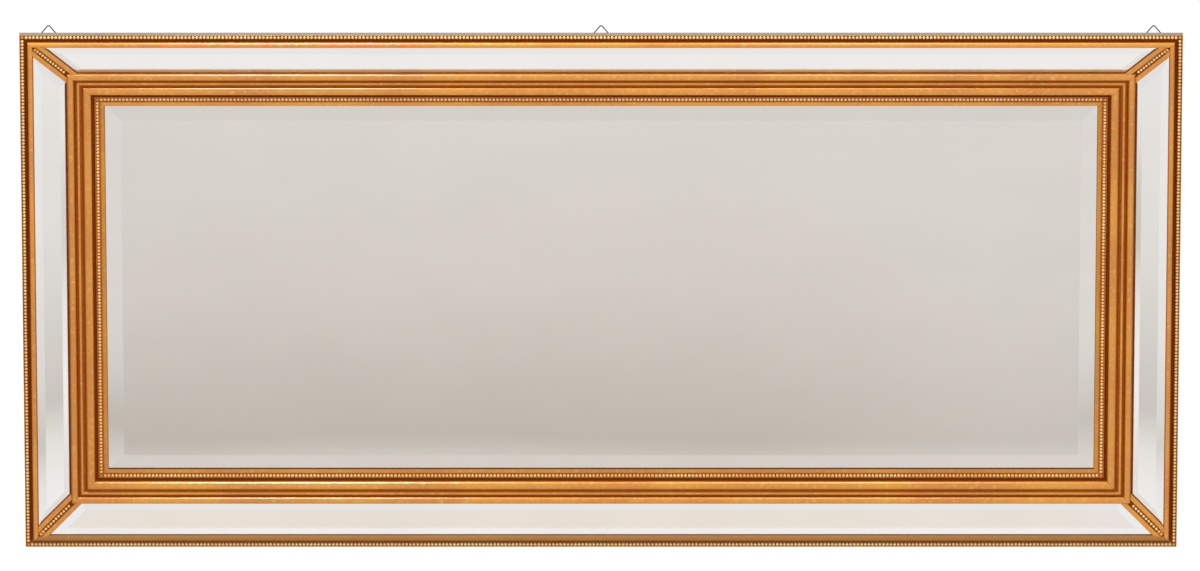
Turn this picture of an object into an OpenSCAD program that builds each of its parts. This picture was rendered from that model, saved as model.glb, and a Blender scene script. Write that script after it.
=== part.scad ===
// Wide giltwood wall mirror: a bevelled main plate in an inner frame, four bevelled margin strips,
// beaded bars over their mitres and a beaded outer frame, on a half-lapped carcass with wire hangers.
// X runs along the mirror, Z is up, the front faces -Y and the wall is the plane y = 0.
// A frame section is drawn as (u, h): u inward from the frame's outer edge, h out from the wall.

/* [Overall size] */
// Width of the outer frame
frame_w = 1600; // [1300:10:2000]
// Height of the outer frame
frame_h = 800; // [700:10:1200]

/* [Outer frame] */
// Height of the outer frame's front edge above the wall
outer_edge_h = 25.5; // [25:0.1:26.5]
// Height of the flat outer side, down from the front edge
side_h = 8; // [6:0.5:10]
// Inset of the back corner behind the splayed side
splay_w = 7; // [5:0.5:8]
// Middle of the outer pearl string, inward from the outer edge
outer_bead_u = 4; // [3.6:0.1:4.4]
// Radius of the outer half-round
outer_round_r = 4.1; // [3.8:0.1:4.3]
// Radius of the groove between pearls and half-round
outer_groove_r = 2; // [1.5:0.1:2.2]
// Width of the outer rail's foot below the glass
outer_foot_w = 7; // [6:0.5:9]

/* [Pearl strings] */
// Radius of a pearl
bead_r = 2.2; // [1.8:0.05:2.3]
// Distance from pearl to pearl
bead_pitch = 5.1; // [4.8:0.1:8]
// Radius of the neck between two pearls
bead_neck_r = 1.1; // [0.6:0.1:1.4]
// Width of the small dark gap beside each pearl string
bead_side_gap = 0.5; // [0.3:0.1:0.8]

/* [Margin strips] */
// Visible width of a margin strip
margin_w = 45; // [38:1:60]
// Fall of the margin strips towards the main plate, per millimetre
margin_fall = 0.22; // [0.15:0.01:0.24]
// Thickness of the margin glass
margin_glass_t = 4; // [3.5:0.1:4.5]
// Width of the margin glass's bevel
margin_bevel_w = 14; // [8:0.5:15]
// Depth that the margin glass goes under the mouldings and bars
glass_tuck = 3.6; // [3:0.1:4]

/* [Corner bars] */
// Width of a corner bar
bar_w = 21; // [19:0.5:26]
// Height of a corner bar's middle above the glass's back
bar_h = 6; // [5.6:0.1:6.6]

/* [Inner frame] */
// Radius of the inner frame's outer half-round
inner_round_r = 5.4; // [5:0.1:5.6]
// Radius of the fillet bead
fillet_r = 2.3; // [1.8:0.1:2.4]
// Radius of the large torus
torus_r = 6.6; // [6:0.1:7]
// Radius of the deep groove inside the large torus
inner_groove_r = 2; // [1.6:0.1:2.1]
// Width of the seat of the inner pearl string
inner_seat_w = 7.2; // [6:0.1:8]
// Width of the lip at the sight edge
lip_w = 6.5; // [5.8:0.1:7.5]

/* [Main plate] */
// Thickness of the main plate
plate_t = 5; // [4.5:0.1:5]
// Width of the main plate's bevel
plate_bevel_w = 25.4; // [15:0.1:38]
// Depth that the main plate goes under the lip
plate_tuck = 3; // [2.5:0.1:4]
// Thickness of a bevel's ground edge
glass_edge_t = 1.6; // [1.4:0.1:2]

/* [Carcass] */
// Thickness of the carcass battens
carcass_t = 9; // [8:0.5:10]
// Width of the back board's seat on the inner frame, outside the main plate
board_seat_w = 12.6; // [10:0.2:16]
// Inset of the carcass from the outer edge
carcass_inset = 9; // [9:0.5:10]
// Thickness of the back board
board_t = 4; // [3:0.5:4.5]
// Width of the upright brace at the back
brace_w = 90; // [60:5:140]

/* [Hangers] */
// Distance from the frame's end to a side hanger
hanger_in = 40; // [35:1:80]
// Diameter of the loop wire
wire_d = 1.6; // [1.2:0.1:1.8]
// Width of a wire loop between its wire's middles
loop_w = 28; // [24:1:34]
// Height of a wire loop between its wire's middles
loop_h = 18; // [14:1:24]
// Height that a loop's tip stands above the frame
loop_rise = 3.4; // [2:0.1:5]
// Width of a hanger strap
strap_w = 14; // [10:1:16]
// Length of a hanger strap below its barrel
strap_l = 30; // [24:1:40]
// Thickness of the strap metal
strap_t = 0.9; // [0.7:0.1:1]

/* [Hidden] */
round_fn = 48;
pearl_fn = 16;
arc_steps = 12;
cut_over = 1;
seat_gap = 0.2;
running_gap = 0.05;
far = 60;

// One pearl's radii and where they stand along its pitch
pearl_shape = [[bead_neck_r, 0], [bead_r, 0.3], [bead_r, 0.7]];

// Levels and places in the outer section
half_w = frame_w / 2;
half_h = frame_h / 2;
rim_h = 0.8;
rim_w = 0.9;
rim_slope_w = 0.5;
outer_seat_h = outer_edge_h - rim_h;
outer_side_low = outer_edge_h - side_h;
outer_seat_in = outer_bead_u + bead_r + bead_side_gap;
outer_groove_u = outer_seat_in + outer_groove_r;
outer_round_u = outer_groove_u + outer_groove_r + outer_round_r;
outer_round_lift = 0.4;
outer_round_h = outer_edge_h + outer_round_lift;
outer_groove_sink = 0.6;
outer_groove_h = outer_seat_h - outer_groove_sink;
sight_u = outer_round_u + outer_round_r;
outer_glass_u = sight_u - glass_tuck;
foot_u = outer_glass_u + outer_foot_w;

// Back plane of the margin glass
glass_slot_gap = 0.95;
glass_low_gap = glass_edge_t + glass_slot_gap;
margin_angle = atan(margin_fall);
margin_top_h = outer_round_h - seat_gap - glass_low_gap;
function bed_h(u) = margin_top_h - margin_fall * (u - sight_u);
valley_angle = atan(margin_fall / sqrt(2));
keel_fall = tan(acos(pow(cos(margin_angle), 2)) / 2);
function glass_top_h(u) = bed_h(u) + glass_low_gap;
edge_lean = glass_edge_t * sin(margin_angle);

// Levels and places in the inner section
inner_edge_u = sight_u + margin_w;
inner_glass_u = inner_edge_u + glass_tuck;
inner_shoulder_u = inner_glass_u + edge_lean + seat_gap;
inner_round_u = inner_edge_u + inner_round_r;
inner_round_lift = 0.3;
inner_round_h = glass_top_h(inner_edge_u) + inner_round_lift;
gutter_w = 2.8;
fillet_u = inner_round_u + inner_round_r + gutter_w + fillet_r;
fillet_sink = 0.1;
fillet_h = inner_round_h - fillet_sink;
torus_u = fillet_u + fillet_r + gutter_w + torus_r;
torus_sink = 2.4;
torus_h = inner_round_h - torus_sink;
inner_groove_u = torus_u + torus_r + inner_groove_r;
inner_groove_sink = 0.9;
inner_groove_h = torus_h - inner_groove_sink;
seat_step = 0.2;
seat_sink = 0.6;
inner_seat_u = inner_groove_u + inner_groove_r + seat_step;
inner_seat_h = torus_h - seat_sink;
gutter_lift = 0.2;
gutter_h = inner_round_h + gutter_lift;
seat_lean = 8;
seat_fall = tan(seat_lean) * inner_seat_w;
inner_bead_u = inner_seat_u + inner_seat_w / 2;
lip_u = inner_seat_u + inner_seat_w;
sight_in_u = lip_u + lip_w;
plate_edge_u = sight_in_u - plate_tuck;
plate_shoulder_u = plate_edge_u - 2 * seat_gap;
lip_slot_gap = 1;
lip_t = 1.2;
lip_low_h = carcass_t + glass_edge_t + lip_slot_gap;
lip_front_h = lip_low_h + lip_t;
lip_lift = 0.9;
lip_crest_h = inner_seat_h + lip_lift;
lip_crest = [[0.9, -0.4], [1.4, 0], [2.2, 0]];

// Corner bars
bar_seat_sink = 2.1;
bar_seat_h = bar_h - bar_seat_sink;
bar_side_drop = 0.6;
bar_top_drop = 0.1;
bar_edge_w = 0.7;
flange_gap = 0.1;

// Carcass and back board
board_u = plate_shoulder_u - board_seat_w + 2 * seat_gap;
carcass_in_u = plate_shoulder_u - board_seat_w;
brace_t = carcass_t - board_t;
lap_depth = 3.5;
lap_t = carcass_t - lap_depth;

// Screws
screw_r = 1.75;
screw_head_r = 3.4;
screw_head_h = 1.8;
screw_l = 14;
screw_sink = 0.3;
pin_r = 1.2;
pin_head_r = 2.3;
pin_head_h = 1.2;
pin_bite = 2;
pin_l = board_t + pin_bite;
pins_long = 6;
pins_short = 3;
outer_screw_u = (foot_u + carcass_inset) / 2;
inner_screw_u = (torus_u + inner_shoulder_u) / 2;
pin_u = (board_u + plate_shoulder_u) / 2;
screws_long = 6;
screws_short = 3;
screw_end = 130;
pin_end = 150;

// Hangers, measured from the wall plane and the frame's top edge
wire_r = wire_d / 2;
barrel_r = wire_r + running_gap + strap_t;
barrel_gap = 0.15;
wire_y = barrel_r + barrel_gap;
house_t = wire_y + barrel_r;
strap_face = house_t - strap_t;
house_side_gap = 3;
bend_r = 2.2;
bend_swell = 0.03;
wire_lap = 0.2;
loop_slope = atan2(loop_h, loop_w / 2);
loop_tip_y = loop_h - bend_r / cos(loop_slope);
loop_base_z = half_h + loop_rise - wire_r - bend_swell - loop_tip_y - bend_r;
strap_screw_r = 1.4;
strap_screw_head_r = 2.5;
strap_screw_head_h = 1;
strap_screw_tip = 0.35;
strap_screw_y = [-11, -23];

// V-shaped nails across the mitres
nail_t = 0.5;
nail_leg = 6;
nail_h = 5;
outer_nail_u = outer_screw_u;
inner_nail_u = torus_u;

SIDES = ["bottom", "left", "top", "right"];
CORNERS = ["bottom_left", "top_left", "top_right", "bottom_right"];
HANGERS = ["left", "middle", "right"];
function side_half(i) = i % 2 == 0 ? half_h : half_w;
function side_span(i) = i % 2 == 0 ? frame_w : frame_h;
function hanger_place(i) = (i - 1) * (half_w - hanger_in);

function named(stem, ends) = [for (e = ends) str(stem, "_", e)];

// Stands a piece drawn as x along the rail, y inward and z out from the wall on side i of the frame
module on_side(i) {
    rotate([0, 90 * i, 0]) translate([0, 0, -side_half(i)]) rotate([90, 0, 0]) children();
}

// The zone of side i between the two mitres, from u = a to u = b
module mitre_zone(i, a, b) {
    s = side_span(i) / 2;
    translate([0, 0, -cut_over]) linear_extrude(far)
        polygon([[a - s, a], [s - a, a], [s - b, b], [b - s, b]]);
}

// A moulding with section children(), drawn as (u, h), cut to side i with mitred ends
module mitred(i, a, b) {
    intersection() {
        translate([-side_span(i) / 2, 0, 0]) rotate([90, 0, 90]) linear_extrude(side_span(i)) children();
        mitre_zone(i, a, b);
    }
}

// Points of an arc about (u, h) from angle a to angle b
function arc(u, h, r, a, b) =
    [for (k = [0:arc_steps]) let (t = a + (b - a) * k / arc_steps) [u + r * cos(t), h + r * sin(t)]];

module outer_section() {
    slot_u = outer_glass_u - seat_gap;
    polygon(concat(
        [[splay_w, carcass_t], [0, outer_side_low], [0, outer_edge_h], [rim_w, outer_edge_h],
         [rim_w + rim_slope_w, outer_seat_h], [outer_seat_in, outer_seat_h]],
        arc(outer_groove_u, outer_groove_h, outer_groove_r, 180, 360),
        arc(outer_round_u, outer_round_h, outer_round_r, 180, 0),
        [[sight_u, glass_top_h(sight_u)], [slot_u, glass_top_h(slot_u)], [slot_u, bed_h(slot_u)],
         [foot_u, bed_h(foot_u)], [foot_u, carcass_t]]));
}

module outer_rail(i) {
    color([0.8, 0.55, 0.27]) on_side(i) difference() {
        mitred(i, 0, foot_u) outer_section();
        rail_holes(i, outer_screw_u);
        nail_pair(i, outer_nail_u);
    }
}

module inner_section() {
    round_end = asin((gutter_h - inner_round_h) / inner_round_r);
    fillet_end = asin((gutter_h - fillet_h) / fillet_r);
    torus_start = asin((gutter_h - torus_h) / torus_r);
    polygon(concat(
        [[inner_shoulder_u, carcass_t], [inner_shoulder_u, glass_top_h(inner_shoulder_u)],
         [inner_edge_u, glass_top_h(inner_edge_u)]],
        arc(inner_round_u, inner_round_h, inner_round_r, 180, round_end),
        arc(fillet_u, fillet_h, fillet_r, 180 - fillet_end, fillet_end),
        arc(torus_u, torus_h, torus_r, 180 - torus_start, 0),
        arc(inner_groove_u, inner_groove_h, inner_groove_r, 180, 360),
        [[inner_seat_u, inner_seat_h], [lip_u, inner_seat_h - seat_fall]],
        [for (p = lip_crest) [lip_u + p[0], lip_crest_h + p[1]]],
        [[sight_in_u, lip_front_h], [sight_in_u, lip_low_h],
         [plate_shoulder_u, lip_low_h], [plate_shoulder_u, carcass_t]]));
}

module inner_rail(i) {
    color([0.8, 0.55, 0.27]) on_side(i) difference() {
        mitred(i, inner_edge_u, sight_in_u) inner_section();
        rail_holes(i, inner_screw_u);
        pin_holes(i);
        nail_pair(i, inner_nail_u);
    }
}

// A flat-backed string of n pearls, lying along x on the plane z = 0
module pearl_string(n) {
    half = n * bead_pitch / 2;
    rotate([90, 0, 90]) rotate_extrude(angle = 180, $fn = pearl_fn)
        polygon(concat([[0, -half]],
            [for (i = [0:n - 1]) for (p = pearl_shape) [p[0], -half + (i + p[1]) * bead_pitch]],
            [[bead_neck_r, half], [0, half]]));
}

function pearls(span, u) = floor((span - 2 * u - 2 * bead_r) / bead_pitch);

module outer_beads(i) {
    color([0.87, 0.66, 0.36]) on_side(i)
        translate([0, outer_bead_u, outer_seat_h]) pearl_string(pearls(side_span(i), outer_bead_u));
}

module inner_beads(i) {
    color([0.87, 0.66, 0.36]) on_side(i)
        translate([0, inner_bead_u, inner_seat_h - seat_fall / 2])
            rotate([-seat_lean, 0, 0]) pearl_string(pearls(side_span(i), inner_bead_u));
}

// A bevelled plate with its back on z = 0 and the outline points
module bevelled(t, bevel, points) {
    hull() {
        linear_extrude(glass_edge_t) polygon(points);
        linear_extrude(t) offset(delta = -bevel) polygon(points);
    }
}

module margin_glass(i) {
    run = (inner_glass_u - outer_glass_u) / cos(margin_angle);
    end_gap = (bar_w / 2 - glass_tuck) * sqrt(2);
    x0 = side_span(i) / 2 - outer_glass_u - end_gap;
    x1 = side_span(i) / 2 - inner_glass_u - end_gap;
    color([0.83, 0.83, 0.82]) on_side(i)
        translate([0, outer_glass_u, bed_h(outer_glass_u)]) rotate([-margin_angle, 0, 0])
            bevelled(margin_glass_t, margin_bevel_w, [[-x0, 0], [x0, 0], [x1, run], [-x1, run]]);
}

module margin_bed(i) {
    color([0.62, 0.47, 0.3]) on_side(i) mitred(i, foot_u, inner_shoulder_u)
        polygon([[foot_u, carcass_t], [foot_u, bed_h(foot_u)],
            [inner_shoulder_u, bed_h(inner_shoulder_u)], [inner_shoulder_u, carcass_t]]);
}

module main_mirror() {
    x = half_w - plate_edge_u;
    z = half_h - plate_edge_u;
    color([0.8, 0.8, 0.79]) translate([0, -carcass_t, 0]) rotate([90, 0, 0])
        bevelled(plate_t, plate_bevel_w, [[-x, -z], [x, -z], [x, z], [-x, z]]);
}

// Places children drawn with x and y inward from the two outer edges at corner k, and z out from the wall
module at_corner(k) {
    translate([k < 2 ? -half_w : half_w, 0, k % 3 == 0 ? -half_h : half_h])
        rotate([90, 0, 0]) rotate([0, 0, -90 * k]) children();
}

// Places children drawn with x along the mitre line and z square to the valley between two glass planes
module on_valley(u) {
    translate([u, u, bed_h(u)]) rotate([0, 0, 45]) rotate([0, valley_angle, 0]) children();
}

function both_sides(half) = concat(half, [for (i = [len(half) - 1:-1:0]) [-half[i][0], half[i][1]]]);

// Section of a corner bar: a stem between the glass ends, flanges over them and a seat for the pearls
module bar_section() {
    w = bar_w / 2;
    stem = w - glass_tuck - edge_lean - seat_gap;
    seat = bead_r + bead_side_gap;
    low = glass_low_gap + flange_gap;
    polygon(concat([[0, 0]], both_sides([
        [stem, stem * keel_fall], [stem, stem * keel_fall + low], [w, w * keel_fall + low],
        [w, bar_h - bar_side_drop], [w - bar_edge_w, bar_h - bar_top_drop],
        [seat + bar_edge_w, bar_h], [seat, bar_seat_h]])));
}

// What the outer half-round fills along one edge of a corner
module outer_cope() {
    translate([outer_round_u, far, outer_round_h]) rotate([90, 0, 0])
        cylinder(r = outer_round_r + seat_gap, h = 2 * far, center = true, $fn = round_fn);
    translate([-far, -far, -far]) cube([sight_u + seat_gap + far, 3 * far, outer_round_h + far]);
    translate([-far, -far, -far]) cube([outer_round_u + outer_round_r / 2 + far, 3 * far, 3 * far]);
}

// What the inner frame's half-round fills on one side of its corner
module inner_cope() {
    intersection() {
        union() {
            translate([inner_round_u, far, inner_round_h]) rotate([90, 0, 0])
                cylinder(r = inner_round_r + seat_gap, h = 4 * far, center = true, $fn = round_fn);
            translate([inner_edge_u - seat_gap, 0, -far]) cube([far, 3 * far, inner_round_h + far]);
            translate([inner_round_u - inner_round_r / 2, 0, -far]) cube([far, 3 * far, 3 * far]);
        }
        translate([0, 0, -far]) linear_extrude(3 * far) polygon([[0, 0], [3 * far, 3 * far], [0, 3 * far]]);
    }
}

module corner_bar(k) {
    color([0.8, 0.55, 0.27]) at_corner(k) difference() {
        on_valley(outer_round_u) rotate([90, 0, 90])
            linear_extrude((inner_round_u - outer_round_u) * sqrt(2)) bar_section();
        for (swap = [0, 1]) mirror(swap * [1, -1, 0]) {
            outer_cope();
            inner_cope();
        }
    }
}

module corner_beads(k) {
    run = (inner_edge_u - sight_u) * sqrt(2) / cos(valley_angle) - 2 * bead_r;
    color([0.87, 0.66, 0.36]) at_corner(k) on_valley((sight_u + inner_edge_u) / 2)
        translate([bead_r / 2, 0, bar_seat_h]) pearl_string(floor(run / bead_pitch));
}

// n places spread evenly over a side, the outer ones at the distance end from its corners
function spread(i, n, end) =
    [for (j = [0:n - 1]) (j / (n - 1) - 0.5) * (side_span(i) - 2 * end)];
function screw_places(i) = spread(i, i % 2 == 0 ? screws_long : screws_short, screw_end);
function pin_places(i) = spread(i, i % 2 == 0 ? pins_long : pins_short, pin_end);

// A countersunk screw driven along +z, or the hole for it when grown by gap
module screw(gap = 0) {
    tail = gap > 0 ? cut_over : 0;
    translate([0, 0, screw_sink]) {
        cylinder(r1 = screw_head_r + gap, r2 = screw_r + gap, h = screw_head_h, $fn = round_fn);
        cylinder(r = screw_r + gap, h = screw_l + tail, $fn = round_fn);
    }
    if (gap > 0) translate([0, 0, -cut_over])
        cylinder(r = screw_head_r + gap, h = screw_sink + cut_over, $fn = round_fn);
}

module rail_holes(i, u) {
    for (x = screw_places(i)) translate([x, u, 0]) screw(running_gap);
}

module frame_screws() {
    color([0.75, 0.7, 0.55]) for (i = [0:3]) on_side(i)
        for (x = screw_places(i)) for (u = [outer_screw_u, inner_screw_u]) translate([x, u, 0]) screw();
}

module pin_holes(i) {
    for (x = pin_places(i)) translate([x, pin_u, 0])
        cylinder(r = pin_r + running_gap, h = brace_t + pin_l + cut_over, $fn = round_fn);
}

module board_pins() {
    color([0.6, 0.6, 0.6]) for (i = [0:3]) on_side(i)
        for (x = pin_places(i)) translate([x, pin_u, brace_t]) {
            cylinder(r = pin_r, h = pin_l, $fn = round_fn);
            translate([0, 0, -pin_head_h]) cylinder(r = pin_head_r, h = pin_head_h, $fn = round_fn);
        }
}

// An angled nail across a mitre, u inward from both edges
module nail(u) {
    translate([u, u, carcass_t]) {
        cube([nail_leg, nail_t, nail_h]);
        cube([nail_t, nail_leg, nail_h]);
    }
}

module nail_pair(i, u) {
    for (m = [0, 1]) mirror([m, 0, 0]) translate([-side_span(i) / 2, 0, 0]) nail(u);
}

module mitre_nails() {
    color([0.6, 0.6, 0.6]) for (k = [0:3]) at_corner(k) {
        nail(outer_nail_u);
        nail(inner_nail_u);
    }
}

// One batten of the carcass, halved at its ends, with the housings for the hangers
module carcass_batten(i) {
    s = side_span(i) / 2 - carcass_inset;
    w = carcass_in_u - carcass_inset;
    lap_low = i % 2 == 0 ? lap_t : -cut_over;
    lap_high = i % 2 == 0 ? carcass_t + cut_over : lap_t;
    color([0.68, 0.55, 0.38]) difference() {
        on_side(i) difference() {
            translate([-s, carcass_inset, 0]) cube([2 * s, w, carcass_t]);
            for (m = [0, 1]) mirror([m, 0, 0]) translate([-s - cut_over, 0, lap_low])
                cube([w + cut_over, carcass_in_u + cut_over, lap_high - lap_low]);
            rail_holes(i, outer_screw_u);
            rail_holes(i, inner_screw_u);
        }
        if (i > 0) for (j = [0:2]) at_hanger(j) {
            if (i == 2) hanger_housing();
            strap_screw_pair(running_gap);
        }
    }
}

module back_board() {
    color([0.45, 0.32, 0.2]) difference() {
        translate([board_u - half_w, -carcass_t, board_u - half_h])
            cube([frame_w - 2 * board_u, board_t, frame_h - 2 * board_u]);
        for (i = [0:3]) on_side(i) pin_holes(i);
    }
}

module back_brace() {
    color([0.68, 0.55, 0.38]) translate([-brace_w / 2, -brace_t, carcass_in_u - half_h])
        cube([brace_w, brace_t, frame_h - 2 * carcass_in_u]);
}

// Places children drawn with y up and z out from the wall at the foot of wire loop j
module at_hanger(j) {
    translate([hanger_place(j), 0, loop_base_z]) rotate([90, 0, 0]) children();
}

module hanger_housing() {
    x = loop_w / 2 + wire_r + house_side_gap;
    translate([-x, -strap_l - house_side_gap, -cut_over])
        cube([2 * x, far + strap_l + house_side_gap, house_t + cut_over]);
}

// The two screws of a strap, or their holes when grown by gap
module strap_screw_pair(gap = 0) {
    tip = carcass_t - strap_screw_tip + gap;
    for (y = strap_screw_y) translate([0, y, 0]) {
        translate([0, 0, strap_face]) cylinder(r = strap_screw_r + gap, h = tip - strap_face, $fn = round_fn);
        if (gap == 0) translate([0, 0, strap_face - strap_screw_head_h])
            cylinder(r = strap_screw_head_r, h = strap_screw_head_h, $fn = round_fn);
    }
}

module strap_screws() {
    color([0.7, 0.7, 0.68]) for (j = [0:2]) at_hanger(j) strap_screw_pair();
}

module hanger_strap(j) {
    color([0.55, 0.5, 0.4]) at_hanger(j) difference() {
        union() {
            translate([-strap_w / 2, -strap_l, strap_face]) cube([strap_w, strap_l, strap_t]);
            translate([0, 0, wire_y]) rotate([0, 90, 0])
                cylinder(r = barrel_r, h = strap_w, center = true, $fn = round_fn);
        }
        translate([0, 0, wire_y]) rotate([0, 90, 0])
            cylinder(r = wire_r + running_gap, h = strap_w + 2 * cut_over, center = true, $fn = round_fn);
        translate([0, 0, -cut_over]) strap_screw_pair(running_gap);
    }
}

// A bend of the wire about the point p, turning from angle a by sweep, and swelled a little by bending
module wire_bend(p, a, sweep) {
    translate(p) rotate([0, 0, a]) rotate_extrude(angle = sweep, $fn = round_fn)
        translate([bend_r, 0]) circle(r = wire_r + bend_swell, $fn = round_fn);
}

module wire_run(p, q) {
    d = q - p;
    translate(p) rotate([0, 0, atan2(d[1], d[0])]) rotate([0, 90, 0]) translate([0, 0, -wire_lap])
        cylinder(r = wire_r, h = norm(d) + 2 * wire_lap, $fn = round_fn);
}

// The bent wire triangle, foot on the x axis and tip up
module hanger_loop(j) {
    foot_x = loop_w / 2 - bend_r / tan(loop_slope / 2);
    out = bend_r * [sin(loop_slope), cos(loop_slope)];
    color([0.2, 0.2, 0.2]) at_hanger(j) translate([0, 0, wire_y]) {
        wire_run([-foot_x, 0, 0], [foot_x, 0, 0]);
        wire_bend([foot_x, bend_r, 0], -90, 180 - loop_slope);
        wire_bend([-foot_x, bend_r, 0], 90 + loop_slope, 180 - loop_slope);
        wire_bend([0, loop_tip_y, 0], 90 - loop_slope, 2 * loop_slope);
        for (m = [-1, 1])
            wire_run([m * (foot_x + out[0]), bend_r + out[1], 0], [m * out[0], loop_tip_y + out[1], 0]);
    }
}

outer_rail(0);  // outer_rail_bottom
outer_rail(1);  // outer_rail_left
outer_rail(2);  // outer_rail_top
outer_rail(3);  // outer_rail_right
outer_beads(0);  // outer_beads_bottom
outer_beads(1);  // outer_beads_left
outer_beads(2);  // outer_beads_top
outer_beads(3);  // outer_beads_right
inner_rail(0);  // inner_rail_bottom
inner_rail(1);  // inner_rail_left
inner_rail(2);  // inner_rail_top
inner_rail(3);  // inner_rail_right
inner_beads(0);  // inner_beads_bottom
inner_beads(1);  // inner_beads_left
inner_beads(2);  // inner_beads_top
inner_beads(3);  // inner_beads_right
margin_glass(0);  // margin_glass_bottom
margin_glass(1);  // margin_glass_left
margin_glass(2);  // margin_glass_top
margin_glass(3);  // margin_glass_right
margin_bed(0);  // margin_bed_bottom
margin_bed(1);  // margin_bed_left
margin_bed(2);  // margin_bed_top
margin_bed(3);  // margin_bed_right
carcass_batten(0);  // carcass_batten_bottom
carcass_batten(1);  // carcass_batten_left
carcass_batten(2);  // carcass_batten_top
carcass_batten(3);  // carcass_batten_right
corner_bar(0);  // corner_bar_bottom_left
corner_bar(1);  // corner_bar_top_left
corner_bar(2);  // corner_bar_top_right
corner_bar(3);  // corner_bar_bottom_right
corner_beads(0);  // corner_beads_bottom_left
corner_beads(1);  // corner_beads_top_left
corner_beads(2);  // corner_beads_top_right
corner_beads(3);  // corner_beads_bottom_right
hanger_strap(0);  // hanger_strap_left
hanger_strap(1);  // hanger_strap_middle
hanger_strap(2);  // hanger_strap_right
hanger_loop(0);  // hanger_loop_left
hanger_loop(1);  // hanger_loop_middle
hanger_loop(2);  // hanger_loop_right
main_mirror();
back_board();
back_brace();
frame_screws();
board_pins();
strap_screws();
mitre_nails();
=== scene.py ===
import math
import random

import bmesh
import bpy
from mathutils import Matrix, Vector


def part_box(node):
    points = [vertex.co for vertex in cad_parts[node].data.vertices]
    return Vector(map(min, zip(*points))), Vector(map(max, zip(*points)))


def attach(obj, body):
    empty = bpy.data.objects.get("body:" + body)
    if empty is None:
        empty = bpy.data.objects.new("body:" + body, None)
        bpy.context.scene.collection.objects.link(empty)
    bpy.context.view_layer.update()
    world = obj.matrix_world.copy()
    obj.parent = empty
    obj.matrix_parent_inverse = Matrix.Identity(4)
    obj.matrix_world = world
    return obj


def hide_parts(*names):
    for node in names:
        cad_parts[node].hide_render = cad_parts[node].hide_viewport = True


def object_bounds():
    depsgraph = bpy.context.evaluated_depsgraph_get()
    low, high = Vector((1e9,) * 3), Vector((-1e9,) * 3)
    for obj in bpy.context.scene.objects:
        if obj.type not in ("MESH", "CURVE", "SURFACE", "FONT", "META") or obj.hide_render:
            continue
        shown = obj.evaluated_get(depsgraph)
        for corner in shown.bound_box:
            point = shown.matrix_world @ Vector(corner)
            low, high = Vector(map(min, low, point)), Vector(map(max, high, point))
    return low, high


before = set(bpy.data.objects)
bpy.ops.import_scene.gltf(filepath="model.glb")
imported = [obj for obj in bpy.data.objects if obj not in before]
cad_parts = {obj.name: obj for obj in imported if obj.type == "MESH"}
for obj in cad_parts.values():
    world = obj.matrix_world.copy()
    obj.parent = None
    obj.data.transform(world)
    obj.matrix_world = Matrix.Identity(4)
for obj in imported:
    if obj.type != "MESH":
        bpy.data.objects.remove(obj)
cad_low, cad_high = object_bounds()

MM = 0.001
SIDES = ("bottom", "left", "top", "right")
BOTTOM, TOP = SIDES.index("bottom"), SIDES.index("top")
CORNERS = ("bottom_left", "top_left", "top_right", "bottom_right")
HANGERS = ("left", "middle", "right")

# Outline of the whole frame, from the outer rails
rail_low, rail_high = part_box("outer_rail_bottom")
FRAME_W = rail_high[0] - rail_low[0]
HALF_W = FRAME_W / 2
HALF_H = -rail_low[2]
FRAME_H = 2 * HALF_H

# Dark line at each joint, and the slight waviness of hand work above the flat back of a moulding
MITRE_W = 0.8 * MM
SEAM_DARK = 0.8
BAR_SEAM_DARK = 0.75
MOULDING_SWAY = 0.14 * MM
MOULDING_SWAY_RATE = 4
BAR_SWAY = 0.12 * MM
BAR_SWAY_RATE = 0.6
STATION_STEP = 8 * MM
BAR_STATIONS = 14
FLAT_BACK_H = 2 * MM

# Turned half pearls and the strip that joins them
BEAD_R = 2.2 * MM
BEAD_GAP = 0.5 * MM
BEAD_PITCH = 5.1 * MM
PEARL_SIDES = 14
PEARL_RINGS = 5
PEARL_W_RANGE = (1.0, 1.05)
PEARL_H_RANGE = (0.92, 0.99)
# Painted shade at the foot of each pearl, fading up its side
PEARL_FOOT_DARK = 0.7
PEARL_DARK_FALL = 3.2
PEARL_SHIFT_ALONG = 0.08 * MM
PEARL_SHIFT_ACROSS = 0.05 * MM
STRING_LOW_W = 1.3 * MM
STRING_HIGH_W = 1.04 * MM
STRING_H = 0.55 * MM

# Outer moulding, in distance u from the outer edge and height h above the wall
SPLAY_W = 7 * MM
BACK_H = 9 * MM
SIDE_LOW_H = 17.5 * MM
OUTER_EDGE_H = 25.5 * MM
OUTER_EDGE_R = 0.4 * MM
SIDE_BREAK = 1 * MM
EDGE_BREAK = 0.6 * MM
OUTER_SEAT_H = 24.7 * MM
OUTER_RIM_W = 0.9 * MM
OUTER_RIM_FALL_W = 0.5 * MM
OUTER_BEAD_U = 4 * MM
OUTER_GROOVE_R = 2 * MM
OUTER_ROUND_R = 4.1 * MM
OUTER_ROUND_H = 25.9 * MM
OUTER_FOOT_W = 7 * MM
OUTER_SEAT_IN = OUTER_BEAD_U + BEAD_R + BEAD_GAP
OUTER_GROOVE_U = OUTER_SEAT_IN + OUTER_GROOVE_R
OUTER_GROOVE_H = OUTER_SEAT_H - 0.6 * MM
OUTER_ROUND_U = OUTER_GROOVE_U + OUTER_GROOVE_R + OUTER_ROUND_R
SIGHT_U = OUTER_ROUND_U + OUTER_ROUND_R

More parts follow.
